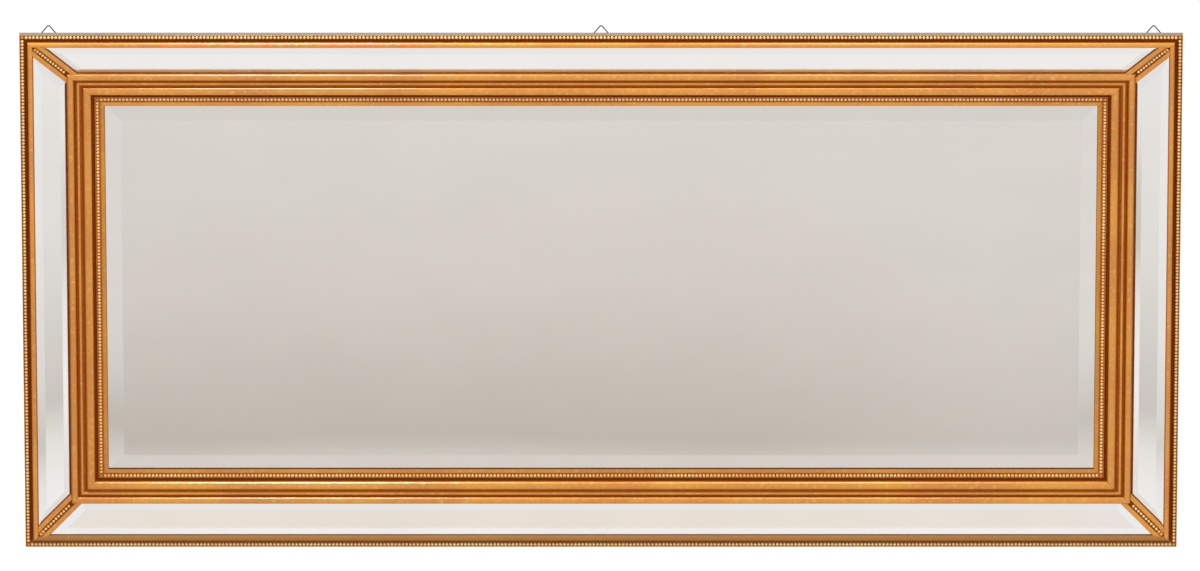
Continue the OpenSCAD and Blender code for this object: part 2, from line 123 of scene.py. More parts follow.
# Margin glass
MARGIN_W = 45 * MM
MARGIN_FALL = 0.22
GLASS_TUCK = 3.6 * MM
GLASS_EDGE_T = 1.6 * MM
GLASS_EASE = 0.3 * MM
MARGIN_T = 4 * MM
MARGIN_BEVEL = 14 * MM
STRIP_EDGE_T = 0.9 * MM
SEAT_GAP = 0.2 * MM
SLOT_H = GLASS_EDGE_T + 0.95 * MM
MARGIN_ANGLE = math.atan(MARGIN_FALL)
BAR_FALL = math.atan(MARGIN_FALL / math.sqrt(2))
MARGIN_TOP_H = OUTER_ROUND_H - SEAT_GAP - SLOT_H
OUTER_GLASS_U = SIGHT_U - GLASS_TUCK
FOOT_U = OUTER_GLASS_U + OUTER_FOOT_W

# Inner moulding
INNER_ROUND_R = 5.4 * MM
FILLET_R = 2.3 * MM
TORUS_R = 6.6 * MM
INNER_GROOVE_R = 2 * MM
INNER_SEAT_W = 7.2 * MM
LIP_W = 6.5 * MM
LIP_CREST_W = 3.3 * MM
LIP_CREST_FALL = 0.5 * MM
GUTTER_W = 2.8 * MM
SEAT_LEAN = math.radians(8)
INNER_EDGE_U = SIGHT_U + MARGIN_W
INNER_GLASS_U = INNER_EDGE_U + GLASS_TUCK
INNER_SHOULDER_U = INNER_GLASS_U + GLASS_EDGE_T * math.sin(MARGIN_ANGLE) + SEAT_GAP

# Main plate
PLATE_T = 5 * MM
PLATE_BEVEL = 25.4 * MM
PLATE_TUCK = 3 * MM

# Corner bars
BAR_W = 21 * MM
BAR_H = 6 * MM
BAR_LOW_H = SLOT_H + 0.4 * MM
BAR_SEAT_H = BAR_H - 2.1 * MM
BAR_SINK = 0.25 * MM
BAR_STOP_W = BEAD_R + BEAD_GAP + 1.3 * MM
BAR_STOP_H = BAR_H - 0.3 * MM


def bed_h(u):
    """Height of the margin glass's back at the distance u from the outer edge."""
    return MARGIN_TOP_H - MARGIN_FALL * (u - SIGHT_U)


def glass_top_h(u):
    """Height of the underside of what lies over the margin glass."""
    return bed_h(u) + SLOT_H


INNER_ROUND_U = INNER_EDGE_U + INNER_ROUND_R
INNER_ROUND_H = glass_top_h(INNER_EDGE_U) + 0.3 * MM
GUTTER_H = INNER_ROUND_H + 0.2 * MM
FILLET_U = INNER_ROUND_U + INNER_ROUND_R + GUTTER_W + FILLET_R
FILLET_H = INNER_ROUND_H - 0.1 * MM
TORUS_U = FILLET_U + FILLET_R + GUTTER_W + TORUS_R
TORUS_H = INNER_ROUND_H - 2.4 * MM
INNER_GROOVE_U = TORUS_U + TORUS_R + INNER_GROOVE_R
INNER_GROOVE_H = TORUS_H - 0.9 * MM
INNER_SEAT_U = INNER_GROOVE_U + INNER_GROOVE_R + 0.2 * MM
INNER_SEAT_H = TORUS_H - 0.6 * MM
INNER_BEAD_U = INNER_SEAT_U + INNER_SEAT_W / 2
SEAT_FALL = math.tan(SEAT_LEAN) * INNER_SEAT_W
LIP_U = INNER_SEAT_U + INNER_SEAT_W
SIGHT_IN_U = LIP_U + LIP_W
PLATE_EDGE_U = SIGHT_IN_U - PLATE_TUCK
PLATE_SHOULDER_U = PLATE_EDGE_U - 2 * SEAT_GAP
LIP_LOW_H = BACK_H + GLASS_EDGE_T + 1 * MM
LIP_FRONT_H = LIP_LOW_H + 1.2 * MM
LIP_CREST_H = INNER_SEAT_H + 0.9 * MM


# Places of the sides and corners
def is_level(i):
    return i in (BOTTOM, TOP)


def side_span(i):
    return FRAME_W if is_level(i) else FRAME_H


def side_matrix(i):
    """From x along a rail, y inward and z out from the wall to the whole mirror, for side i."""
    half = HALF_H if is_level(i) else HALF_W
    turn = Matrix.Rotation(math.radians(90 * i), 4, "Y")
    return turn @ Matrix.Translation((0, 0, -half)) @ Matrix.Rotation(math.radians(90), 4, "X")


def corner_matrix(k):
    """From x and y inward from the two outer edges and z out from the wall, for corner k."""
    x = -HALF_W if k < 2 else HALF_W
    z = -HALF_H if k % 3 == 0 else HALF_H
    turn = Matrix.Rotation(math.radians(90), 4, "X") @ Matrix.Rotation(math.radians(-90 * k), 4, "Z")
    return Matrix.Translation((x, 0, z)) @ turn


def valley_matrix(u):
    """From x along the mitre line and z square to the valley between two strips, about its point at u."""
    lean = Matrix.Rotation(BAR_FALL, 4, "Y")
    return Matrix.Translation((u, u, bed_h(u))) @ Matrix.Rotation(math.radians(45), 4, "Z") @ lean


# Materials
class Value:
    """A shader socket, with the arithmetic of Math nodes."""

    def __init__(self, tree, socket):
        self.tree = tree
        self.socket = socket

    def math(self, operation, *others, clamp=False):
        settings = {"operation": operation, "use_clamp": clamp}
        return self.tree.node("ShaderNodeMath", settings, (self, *others))

    def __add__(self, other):
        return self.math("ADD", other)

    def __radd__(self, other):
        return self.math("ADD", other)

    def __sub__(self, other):
        return self.math("SUBTRACT", other)

    def __rsub__(self, other):
        return self.tree.node("ShaderNodeMath", {"operation": "SUBTRACT"}, (other, self))

    def __mul__(self, other):
        return self.math("MULTIPLY", other)

    def __rmul__(self, other):
        return self.math("MULTIPLY", other)

    def clamped(self):
        return self.math("ADD", 0.0, clamp=True)


class Nodes:
    """The nodes of a material or a world, all made by node()."""

    def __init__(self, owner):
        owner.use_nodes = True
        self.nodes = owner.node_tree.nodes
        self.links = owner.node_tree.links

    def plug(self, value, socket):
        if isinstance(value, Value):
            self.links.new(value.socket, socket)
        else:
            socket.default_value = value

    def node(self, kind, settings=None, inputs=(), output=0):
        """Adds a node: settings are its properties or a ramp's stops, inputs are by place or name."""
        made = self.nodes.new(kind)
        for key, value in (settings or {}).items():
            if key == "stops":
                set_stops(made.color_ramp, value)
            else:
                setattr(made, key, value)
        pairs = inputs.items() if isinstance(inputs, dict) else enumerate(inputs)
        for key, value in pairs:
            self.plug(value, made.inputs[key])
        return Value(self, made.outputs[output])

    def place(self, scale=(1, 1, 1)):
        """Object coordinates in metres, stretched by scale."""
        coordinates = self.node("ShaderNodeTexCoord", output="Object")
        return self.node("ShaderNodeMapping", None, {"Vector": coordinates, "Scale": scale})

    def noise(self, scale, stretch=(1, 1, 1), detail=3.0, rough=0.5):
        """Soft noise from about 0 to 1, scale being the number of lumps to the metre."""
        inputs = {"Vector": self.place(stretch), "Scale": scale, "Detail": detail, "Roughness": rough}
        return self.node("ShaderNodeTexNoise", None, inputs)

    def ramp(self, value, low, high, ends=(0.0, 1.0)):
        """value taken from low to high onto the two ends."""
        inputs = {"Value": value, "From Min": low, "From Max": high, "To Min": ends[0], "To Max": ends[1]}
        return self.node("ShaderNodeMapRange", {"interpolation_type": "SMOOTHSTEP"}, inputs)

    def mix(self, mask, a, b):
        """Colour a where mask is 0 and b where it is 1."""
        settings = {"data_type": "RGBA"}
        inputs = {0: mask, 6: rgba(a), 7: rgba(b)}
        return self.node("ShaderNodeMix", settings, inputs, output=2)

    def attribute(self, name):
        return self.node("ShaderNodeAttribute", {"attribute_name": name}, output="Fac")


class Finish(Nodes):
    """One material and its surface."""

    def __init__(self, name, color, metallic=0.0, roughness=0.5):
        self.material = bpy.data.materials.new(name)
        super().__init__(self.material)
        self.shader = self.nodes["Principled BSDF"]
        self.material.diffuse_color = rgba(color)
        self.surface("Base Color", rgba(color))
        self.surface("Metallic", metallic)
        self.surface("Roughness", roughness)

    def surface(self, name, value):
        self.plug(value, self.shader.inputs[name])

    def bump(self, height, distance, strength):
        inputs = {"Height": height, "Distance": distance, "Strength": strength}
        self.surface("Normal", self.node("ShaderNodeBump", None, inputs))


def set_stops(ramp, stops):
    while len(ramp.elements) < len(stops):
        ramp.elements.new(0.5)
    for element, (position, color) in zip(ramp.elements, stops):
        element.position = position
        element.color = rgba(color)


def rgba(color):
    if isinstance(color, Value):
        return color
    return (*color, 1.0) if len(color) == 3 else color


def srgb(red, green, blue):
    """The linear colour of an sRGB colour from 0 to 255."""
    def linear(c):
        c = c / 255
        return c / 12.92 if c <= 0.04045 else ((c + 0.055) / 1.055) ** 2.4
    return (linear(red), linear(green), linear(blue))


# Colours and sheen of the gilding
LEAF_GOLD = srgb(228, 152, 26)
LEAF_PALE = srgb(242, 190, 86)
LEAF_DEEP = srgb(212, 132, 14)
# Red bole, where the leaf is rubbed through and under the painted shade, and the dark brown of the deepest
# painted shade
BOLE_RED = srgb(188, 92, 8)
GROOVE_SHADE = srgb(134, 58, 0)
SIDE_OCHRE = srgb(132, 112, 84)
# Brown of gilding dulled as painted shade
SHADE_DULL_BROWN = srgb(160, 116, 74)
# Gold of the pearls, paler than the leaf as painted highlight
PEARL_GOLD = srgb(255, 222, 150)
PEARL_PALE = srgb(255, 248, 215)
PEARL_DEEP = srgb(248, 196, 110)
LEAF_SHEEN_TINT = (1.0, 0.72, 0.4, 1)
LEAF_METAL = 0.36
LEAF_ROUGHNESS = 0.36
VARNISH_WEIGHT = 0.75
VARNISH_ROUGHNESS = 0.16
VARNISH_IOR = 1.95


def gilt(name, leaf, pale, deep):
    """Varnished gold leaf over red bole, from the darkness, side and dullness that a piece's points carry:
    dark in the hollows as painted shade over the bole, rubbed on the crests, ochre on the outer side,
    and brown as painted shade where dulled."""
    finish = Finish(name, leaf, metallic=LEAF_METAL, roughness=LEAF_ROUGHNESS)
    hollow = finish.attribute("hollow")
    side = finish.attribute("side")
    dull = finish.attribute("dull")
    cloud = finish.noise(9.0, detail=4.0)
    mottle = finish.noise(160.0, detail=3.0, rough=0.6)
    speck = finish.noise(620.0, detail=2.0, rough=0.6)
    tone = finish.mix(finish.ramp(cloud, 0.35, 0.68), deep, leaf)
    tone = finish.mix(finish.ramp(mottle, 0.5, 0.75) * 0.6, tone, pale)
    # Painted shade: the darkness each point carries, stirred with a little random dirt, turns the leaf to
    # bole and dark brown and takes away metal and varnish
    grime_and_shade = finish.ramp(hollow + (mottle - 0.5) * 0.35, 0.3, 0.95)
    bole = finish.mix(finish.ramp(hollow, 0.6, 1.0), BOLE_RED, GROOVE_SHADE)
    rubbed = finish.ramp(speck * 0.6 + mottle * 0.4, 0.6, 0.7) * 0.4
    color = finish.mix(rubbed, tone, BOLE_RED)
    color = finish.mix(grime_and_shade, color, bole)
    # Painted shade: dulled points turn brown, with less metal and varnish and more roughness
    color = finish.mix(dull * 0.8, color, SHADE_DULL_BROWN)
    color = finish.mix(side * finish.ramp(mottle, 0.2, 0.6, (0.7, 1.0)), color, SIDE_OCHRE)
    metal = (LEAF_METAL - grime_and_shade * 0.3 - rubbed * 0.2 - dull * 0.3).clamped()
    rough = LEAF_ROUGHNESS + grime_and_shade * 0.3 + (mottle - 0.5) * 0.12 + rubbed * 0.2 + dull * 0.3
    finish.surface("Base Color", color)
    finish.surface("Metallic", (metal - side * 0.3).clamped())
    finish.surface("Roughness", rough)
    finish.surface("Specular IOR Level", 0.35)
    finish.surface("Specular Tint", LEAF_SHEEN_TINT)
    finish.surface("Coat Weight", (VARNISH_WEIGHT - grime_and_shade * 0.8 - dull * 1.2).clamped())
    finish.surface("Coat Roughness", VARNISH_ROUGHNESS)
    finish.surface("Coat IOR", VARNISH_IOR)
    finish.bump(mottle * 0.6 + speck * 0.4, 0.12 * MM, 0.5)
    return finish.material


def silvered(name, tint, clean_roughness):
    """The silvered front of a plate of glass, with the faintest dust and wiping marks."""
    finish = Finish(name, tint, metallic=1.0, roughness=clean_roughness)
    haze = finish.noise(5.0, stretch=(1, 1, 2.2), detail=4.0)
    dust = finish.noise(900.0, detail=1.0)
    spots = finish.ramp(dust, 0.74, 0.8)
    darker = tuple(c * 0.975 for c in tint)
    finish.surface("Base Color", finish.mix(finish.ramp(haze, 0.3, 0.7), tint, darker))
    finish.surface("Roughness", clean_roughness + finish.ramp(haze, 0.35, 0.75) * 0.012 + spots * 0.03)
    return finish.material


def glass_edge():
    """The ground green edge of a plate."""
    finish = Finish("ground_glass_edge", srgb(150, 178, 160), roughness=0.28)
    frost = finish.noise(700.0, detail=3.0)
    tone = finish.ramp(frost, 0.35, 0.7)
    finish.surface("Base Color", finish.mix(tone, srgb(120, 152, 136), srgb(186, 205, 192)))
    finish.surface("Roughness", 0.2 + frost * 0.25)
    finish.bump(frost, 0.08 * MM, 0.4)
    return finish.material


def backing_paint():
    """The grey paint over the silver on a plate's back."""
    finish = Finish("backing_paint", srgb(96, 98, 96), roughness=0.6)
    brush = finish.noise(60.0, stretch=(0.2, 1, 4), detail=4.0)
    finish.surface("Base Color", finish.mix(brush, srgb(82, 85, 84), srgb(112, 113, 108)))
    finish.surface("Roughness", 0.5 + brush * 0.2)
    finish.bump(brush, 0.1 * MM, 0.4)
    return finish.material


def wood(name, light, dark, along_x, roughness=0.62):
    """Plain wood with its grain along x, or along z."""
    finish = Finish(name, light, roughness=roughness)
    stretch = (0.05, 1, 1) if along_x else (1, 1, 0.05)
    grain = finish.noise(260.0, stretch=stretch, detail=5.0, rough=0.65)
    bands = finish.noise(34.0, stretch=stretch, detail=2.0)
    pores = finish.ramp(finish.noise(1500.0, stretch=stretch, detail=2.0), 0.62, 0.72)
    tone = finish.ramp(grain * 0.55 + bands * 0.45, 0.36, 0.64)
    color = finish.mix(tone, dark, light)
    color = finish.mix(pores * 0.5, color, tuple(c * 0.55 for c in dark))
    finish.surface("Base Color", color)
    finish.surface("Roughness", roughness + (grain - 0.5) * 0.2)
    finish.bump(grain - pores * 0.6, 0.18 * MM, 0.5)
    return finish.material


def hardboard():
    """Pressed fibre board, smooth with fine fibres and a few scuffs."""
    finish = Finish("hardboard", srgb(120, 84, 54), roughness=0.55)
    fibre = finish.noise(900.0, stretch=(1, 1, 0.4), detail=4.0, rough=0.7)
    cloud = finish.noise(7.0, detail=3.0)
    scuff = finish.ramp(finish.noise(30.0, stretch=(1, 1, 0.12), detail=4.0), 0.66, 0.72)
    tone = finish.ramp(fibre * 0.8 + cloud * 0.2, 0.35, 0.65)
    color = finish.mix(tone, srgb(98, 66, 42), srgb(138, 98, 64))
    color = finish.mix(scuff * 0.2, color, srgb(160, 124, 90))
    finish.surface("Base Color", color)
    finish.surface("Roughness", 0.45 + fibre * 0.25)
    finish.bump(fibre, 0.1 * MM, 0.4)
    return finish.material


def steel(name, light, dark, roughness, metallic=1.0):
    """Drawn or plated steel with fine draw marks and a little tarnish."""
    finish = Finish(name, light, metallic=metallic, roughness=roughness)
    tarnish = finish.noise(300.0, detail=4.0, rough=0.6)
    draw = finish.noise(2200.0, stretch=(1, 1, 0.15), detail=2.0)
    finish.surface("Base Color", finish.mix(finish.ramp(tarnish, 0.35, 0.7), light, dark))
    finish.surface("Roughness", roughness + (tarnish - 0.5) * 0.2)
    finish.bump(draw, 0.03 * MM, 0.4)
    return finish.material


# Shapes
def arc(u, h, r, a, b, steps):
    """Points of an arc about (u, h) from angle a to angle b in degrees."""
    turns = [math.radians(a + (b - a) * k / steps) for k in range(steps + 1)]
    return [(u + r * math.cos(t), h + r * math.sin(t)) for t in turns]


def shaded(points, dark, side=0.0, dull=0.0):
    """Section points (u, h, darkness, side, dullness), darkness and dullness being painted shade: dark is
    one value, or a function from 0 to 1 along the points."""
    last = max(len(points) - 1, 1)
    values = [dark(k / last) if callable(dark) else dark for k in range(len(points))]
    return [(u, h, value, side, dull) for (u, h), value in zip(points, values)]


def dark_ends(first, last, i, reach=0.6, lit_reach=0.08):
    """Painted shade that fades from the two ends of an arc to its crest, over reach radii as seen from the
    front.
    The upper end of a level moulding faces the light, and is shaded over lit_reach only: that is the first
    end on the top side, and the last end on the bottom side."""
    first_reach = lit_reach if i == TOP else reach
    last_reach = lit_reach if i == BOTTOM else reach
    fade = 2 if i == TOP else 1

    def darkness(t):
        inward = 1 - abs(math.cos(math.pi * t))
        if t < 0.5:
            return first * max(0.0, 1 - (inward / first_reach) ** fade)
        return last * max(0.0, 1 - inward / last_reach)
    return darkness


def dark_middle(edge):
    """Painted shade of a groove, from edge at its shoulders to 1 at its bottom."""
    return lambda t: edge + (1 - edge) * math.sin(math.pi * t) ** 0.7


def make_piece(name, points, faces, materials, face_materials=None, marks=None, crease=38):
    """A mesh piece from points in the whole mirror's place; marks are values given to the points."""
    mesh = bpy.data.meshes.new(name)
    mesh.from_pydata([tuple(p) for p in points], [], faces)
    for material in materials:
        mesh.materials.append(material)
    if face_materials:
        mesh.polygons.foreach_set("material_index", face_materials)
    for mark, values in (marks or {}).items():
        mesh.attributes.new(mark, "FLOAT", "POINT").data.foreach_set("value", values)
    bm = bmesh.new()
    bm.from_mesh(mesh)
    bmesh.ops.recalc_face_normals(bm, faces=bm.faces)
    bm.to_mesh(mesh)
    bm.free()
    mesh.shade_smooth()
    mesh.set_sharp_from_angle(angle=math.radians(crease))
    piece = bpy.data.objects.new(name, mesh)
    bpy.context.scene.collection.objects.link(piece)
    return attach(piece, "mirror")


def loft(rings):
    """Faces between rings of n points each, with a flat cap at both ends."""
    n = len(rings[0])
    faces = []
    for r in range(len(rings) - 1):
        for k in range(n):
            a, b = r * n + k, r * n + (k + 1) % n
            faces.append((a, b, b + n, a + n))
    faces.append(tuple(range(n - 1, -1, -1)))
    faces.append(tuple(range((len(rings) - 1) * n, len(rings) * n)))
    return faces


def hand_wave(rng, reach):
    """A slow, slight unevenness along a moulding, from -reach to 0, as the sum of seven waves."""
    waves = [(rng.uniform(0.6, 1), rng.uniform(1.5, 24), rng.uniform(0, 2 * math.pi)) for _ in range(7)]
    total = sum(w[0] for w in waves)
    return lambda t: -reach * (0.5 + 0.5 * sum(a * math.sin(f * t + p) for a, f, p in waves) / total)


def outer_section(i):
    """The outer moulding: splayed side, rim, seat of the pearls, deep groove and half-round."""
    slot_u = OUTER_GLASS_U - SEAT_GAP
    edge_h = OUTER_EDGE_H - OUTER_EDGE_R
    rim_end = OUTER_RIM_W + OUTER_RIM_FALL_W
    # Painted shade in the darkness given to each part: on the back splay, under the pearls, in the groove,
    # toward the edges of the half-round and in the slot for the glass
    round_dark = dark_ends(0.9, 1.0, i, 0.9)
    return (shaded([(SPLAY_W, BACK_H), (0, SIDE_LOW_H)], 0.5, 1.0)
            + shaded([(0, SIDE_LOW_H + SIDE_BREAK), (0, OUTER_EDGE_H - EDGE_BREAK)], 0.1, 1.0)
            + shaded(arc(OUTER_EDGE_R, edge_h, OUTER_EDGE_R, 180, 90, 4), 0.0, 0.5)
            + shaded([(OUTER_RIM_W, OUTER_EDGE_H)], 0.3)
            + shaded([(rim_end, OUTER_SEAT_H), (OUTER_SEAT_IN, OUTER_SEAT_H)], 0.95)
            + shaded(arc(OUTER_GROOVE_U, OUTER_GROOVE_H, OUTER_GROOVE_R, 180, 360, 10), dark_middle(0.8))
            + shaded(arc(OUTER_ROUND_U, OUTER_ROUND_H, OUTER_ROUND_R, 180, 0, 22), round_dark)
            + shaded([(SIGHT_U, glass_top_h(SIGHT_U)), (slot_u, glass_top_h(slot_u)),
                      (slot_u, bed_h(slot_u)), (FOOT_U, bed_h(FOOT_U)), (FOOT_U, BACK_H)], 0.9))


def inner_section(i):
    """The inner moulding: half-round, fillet bead, large torus, deep groove, seat of the pearls and lip."""
    round_end = math.degrees(math.asin((GUTTER_H - INNER_ROUND_H) / INNER_ROUND_R))
    fillet_end = math.degrees(math.asin((GUTTER_H - FILLET_H) / FILLET_R))
    torus_start = math.degrees(math.asin((GUTTER_H - TORUS_H) / TORUS_R))
    # Painted shade in the darkness given to each part: at the glass, toward the edges of the rounds, in the
    # groove, on the seat of the pearls and down the lip; on the top side the half-round's upper edge is less
    # dark
    round_dark = dark_ends(0.7 if i == TOP else 1.0, 0.95, i, 0.9, 0.1)
    crest = [(LIP_U + a * MM, LIP_CREST_H + b * MM)
             for a, b in ((0.5, -0.75), (0.9, -0.35), (1.4, -0.08), (1.9, 0), (2.5, -0.1))]
    fall_u, fall_h = LIP_U + LIP_CREST_W, LIP_CREST_H - LIP_CREST_FALL
    slope = (LIP_FRONT_H - fall_h) / (LIP_W - LIP_CREST_W)
    fall = [(fall_u + d, fall_h + slope * d) for d in (1.2 * MM, 2.4 * MM)]
    # Painted shade: the lips of the bottom and both sides are dulled brown, the top lip is not
    dull = 0.0 if i == TOP else 0.35
    return (shaded([(INNER_SHOULDER_U, BACK_H), (INNER_SHOULDER_U, glass_top_h(INNER_SHOULDER_U)),
                    (INNER_EDGE_U, glass_top_h(INNER_EDGE_U))], 0.9)
            + shaded(arc(INNER_ROUND_U, INNER_ROUND_H, INNER_ROUND_R, 180, round_end, 22), round_dark)
            + shaded(arc(FILLET_U, FILLET_H, FILLET_R, 180 - fillet_end, fillet_end, 12),
                     dark_ends(0.8, 0.8, i, 0.5))
            + shaded(arc(TORUS_U, TORUS_H, TORUS_R, 180 - torus_start, 0, 26), dark_ends(0.9, 0.95, i))
            + shaded(arc(INNER_GROOVE_U, INNER_GROOVE_H, INNER_GROOVE_R, 180, 360, 10), dark_middle(0.85))
            + shaded([(INNER_SEAT_U, INNER_SEAT_H), (LIP_U, INNER_SEAT_H - SEAT_FALL)], 0.74)
            + shaded(crest + [(fall_u, fall_h)], lambda t: max(0.0, 0.7 - 2.4 * t), dull=dull)
            + shaded(fall + [(SIGHT_IN_U, LIP_FRONT_H)], lambda t: 0.05 + 0.8 * t ** 2, dull=dull)
            + shaded([(SIGHT_IN_U, LIP_LOW_H), (PLATE_SHOULDER_U, LIP_LOW_H), (PLATE_SHOULDER_U, BACK_H)],
                     0.9))


def moulding(name, section, i, material, rng, seat, dull=0.0):
    """Sweeps a section along side i, mitred at both ends, with the slight waviness of hand work.
    The two long sides also carry the pearls that stand in the corners, on the seat of their strings."""
    span = side_span(i)
    stations = int(span / STATION_STEP)
    sway = hand_wave(rng, MOULDING_SWAY)
    place = side_matrix(i)
    front = min(s[1] for s in section) + FLAT_BACK_H
    joint = 2 * MITRE_W / span
    turns = [-1, -1 + joint] + [2 * k / stations - 1 for k in range(1, stations)] + [1 - joint, 1]
    rings = []
    for t in turns:
        lift = sway(t * span * MOULDING_SWAY_RATE)
        rings.append([place @ Vector((t * (span / 2 - u), u, h + (lift if h > front else 0)))
                      for u, h, *marks in section])
    points = [p for ring in rings for p in ring]
    seam = [max(s[2], SEAM_DARK) for s in section]
    hollow = seam + [s[2] for s in section] * (len(rings) - 2) + seam
    side = [s[3] for s in section] * len(rings)
    # Dullness, which is painted shade, from the moulding and from each section point
    shade_dulls = [max(dull, s[4]) for s in section] * len(rings)
    faces = loft(rings)
    reach = span / 2 - (place.inverted() @ seat).translation.y
    for x in (-reach, reach) if is_level(i) else ():
        made = pearl(len(points), seat, x, 0, rng)
        points += made[0]
        faces += made[1]
        hollow += made[2]
        side += [0.0] * len(made[0])
        shade_dulls += [0.0] * len(made[0])
    marks = {"hollow": hollow, "side": side, "dull": shade_dulls}
    return make_piece(name, points, faces, [material], marks=marks)


def pearl(first, place, x, y, rng):
    """One turned half pearl on z = 0 of place, as points, faces numbered from first, and darkness as painted
    shade at its foot.
    """
    around, rise = PEARL_SIDES, PEARL_RINGS
    wide = BEAD_R * rng.uniform(*PEARL_W_RANGE)
    tall = BEAD_R * rng.uniform(*PEARL_H_RANGE)
    points, hollow, faces = [], [], []
    for ring in range(rise):
        t = ring / rise * math.pi / 2
        for k in range(around):
            a = 2 * math.pi * k / around
            reach = math.cos(t) * wide
            spot = Vector((x + math.cos(a) * reach, y + math.sin(a) * reach, math.sin(t) * tall))
            points.append(place @ spot)
            hollow.append(max(0.0, PEARL_FOOT_DARK - PEARL_DARK_FALL * math.sin(t)))
    points.append(place @ Vector((x, y, tall)))
    hollow.append(0.0)
    for ring in range(rise - 1):
        for k in range(around):
            a, b = first + ring * around + k, first + ring * around + (k + 1) % around
            faces.append((a, b, b + around, a + around))
    top = first + rise * around
    for k in range(around):
        faces.append((top - around + k, top - around + (k + 1) % around, top))
    faces.append(tuple(range(first + around - 1, first - 1, -1)))
    return points, faces, hollow


def pearl_row(name, place, count, material, rng):
    """A string of turned half pearls on a flat strip, lying along x on z = 0 of place."""
    half = count * BEAD_PITCH / 2
    points = [place @ Vector((x * half, y * wide, h))
              for wide, h in ((STRING_LOW_W, 0), (STRING_HIGH_W, STRING_H))
              for x, y in ((-1, -1), (1, -1), (1, 1), (-1, 1))]
    # The strip between the pearls is painted fully dark, as shade
    hollow = [1.0] * len(points)
    faces = [(0, 1, 5, 4), (1, 2, 6, 5), (2, 3, 7, 6), (3, 0, 4, 7), (4, 5, 6, 7), (3, 2, 1, 0)]
    for n in range(count):
        x = -half + (n + 0.5) * BEAD_PITCH + rng.uniform(-PEARL_SHIFT_ALONG, PEARL_SHIFT_ALONG)
        y = rng.uniform(-PEARL_SHIFT_ACROSS, PEARL_SHIFT_ACROSS)
        made = pearl(len(points), place, x, y, rng)
        points += made[0]
        faces += made[1]
        hollow += made[2]
    return make_piece(name, points, faces, [material], marks={"hollow": hollow}, crease=50)


def pearl_count(span, u):
    """How many pearls a string holds between its two corners, u from the outer edge."""
    return math.floor((span - 2 * u - 2 * BEAD_R) / BEAD_PITCH)


def inset(points, distance):
    """The outline of a convex polygon, drawn anticlockwise, with every edge moved inward."""
    n = len(points)
    lines = []
    for k in range(n):
        a, b = Vector(points[k]), Vector(points[(k + 1) % n])
        along = (b - a).normalized()
        lines.append((a + Vector((-along.y, along.x)) * distance, along))
    made = []
    for k in range(n):
        (p, d), (q, e) = lines[k - 1], lines[k]
        cross = d.x * e.y - d.y * e.x
        t = ((q - p).x * e.y - (q - p).y * e.x) / cross
        made.append(p + d * t)
    return made


def bevelled_plate(name, place, outline, thickness, bevel, edge_t, materials):
    """A mirror plate with its back on z = 0 of place: silvered face, ground edge and painted back."""
    front, edge, back = range(3)
    levels = [(inset(outline, GLASS_EASE), 0), (outline, GLASS_EASE), (outline, edge_t),
              (inset(outline, bevel), thickness)]
    points = [place @ Vector((p[0], p[1], h)) for ring, h in levels for p in ring]
    n = len(outline)
    faces, kinds = [tuple(range(n - 1, -1, -1))], [back]
    for r, kind in ((0, edge), (1, edge), (2, front)):
        for k in range(n):
            a, b = r * n + k, r * n + (k + 1) % n
            faces.append((a, b, b + n, a + n))
            kinds.append(kind)
    faces.append(tuple(range(3 * n, 4 * n)))
    kinds.append(front)
    return make_piece(name, points, faces, materials, kinds, crease=3)


def bar_section():
    """Half the top of a corner bar's section, from its side to the seat: (across, height, darkness as
    painted shade).
    The crest is given from the bar's side and its top, the flank of the groove from the seat and the top."""
    half, seat = BAR_W / 2, BEAD_R + BEAD_GAP
    crest = ((0, -1.5, 0.85), (0.12, -0.9, 0.5), (0.4, -0.42, 0.5), (0.9, -0.14, 0.15), (1.8, 0, 0.0),
             (3.2, 0.06, 0.0), (4.6, 0, 0.0))
    flank = ((1.9, -0.1, 0.05), (1.2, -0.5, 0.5), (0.6, -1.5, 1.0))
    return ([(half, BAR_LOW_H, 1.0)]
            + [(half - a * MM, BAR_H + b * MM, dark) for a, b, dark in crest]
            + [(seat + a * MM, BAR_H + b * MM, dark) for a, b, dark in flank]
            + [(seat, BAR_SEAT_H, 1.0)])


def bar_end(across, up, outer):
    """How far along the mitre a line of the bar sinks into the outer half-round, or the inner one."""
    if outer:
        round_u, round_h, radius, toward = OUTER_ROUND_U, OUTER_ROUND_H, OUTER_ROUND_R, 1
    else:
        round_u, round_h, radius, toward = INNER_ROUND_U, INNER_ROUND_H, INNER_ROUND_R, -1
    x = (SIGHT_U if outer else INNER_EDGE_U) * math.sqrt(2)
    valley = valley_matrix(0)
    # Each step comes closer to the place where they meet
    for _ in range(30):
        p = valley @ Vector((x, across, up))
        rise = max(0.0, p.z - round_h)
        reach = math.sqrt(max(0.0, radius ** 2 - rise ** 2))
        x += (round_u + toward * (reach - BAR_SINK) - min(p.x, p.y)) * math.sqrt(2)
    return x


